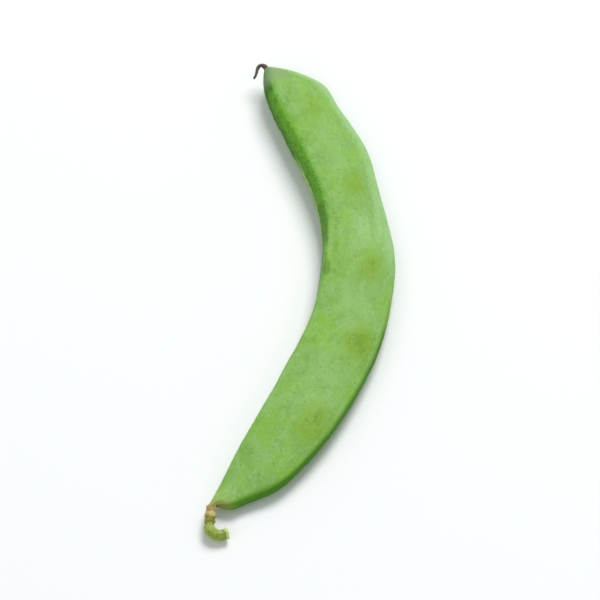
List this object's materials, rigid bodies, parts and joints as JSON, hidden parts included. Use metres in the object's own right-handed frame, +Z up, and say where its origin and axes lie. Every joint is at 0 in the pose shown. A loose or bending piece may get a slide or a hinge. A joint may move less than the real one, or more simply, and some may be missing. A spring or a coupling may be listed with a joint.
{
  "type": "hyacinth bean pod",
  "caption": "Flat, scythe-shaped fresh bean pod lying on its side, with a broad ridged inner margin, low seed swellings, toothed calyx, hooked broken stalk and dry style.",
  "frame": {"origin": "on the surface that the pod lies on, under the middle of the box round the whole part", "axes": "+X towards the stalk, along the pod's length; +Y towards the outside of the pod's curve; +Z up"},
  "size_m": [0.121, 0.0406, 0.0077],
  "materials": {
    "pod_skin": "satin green plant skin with a pale bloom and yellow-green patches over the seeds",
    "calyx": "matt, tan to orange-brown, drying at the teeth",
    "stalk": "satin yellow-green, pale and fibrous at the broken end",
    "style": "matt, dry, grey-brown"
  },
  "bodies": {
    "root": {"pod": "pod_skin", "calyx": "calyx", "stalk": "stalk", "style": "style"}
  },
  "joints": []
}
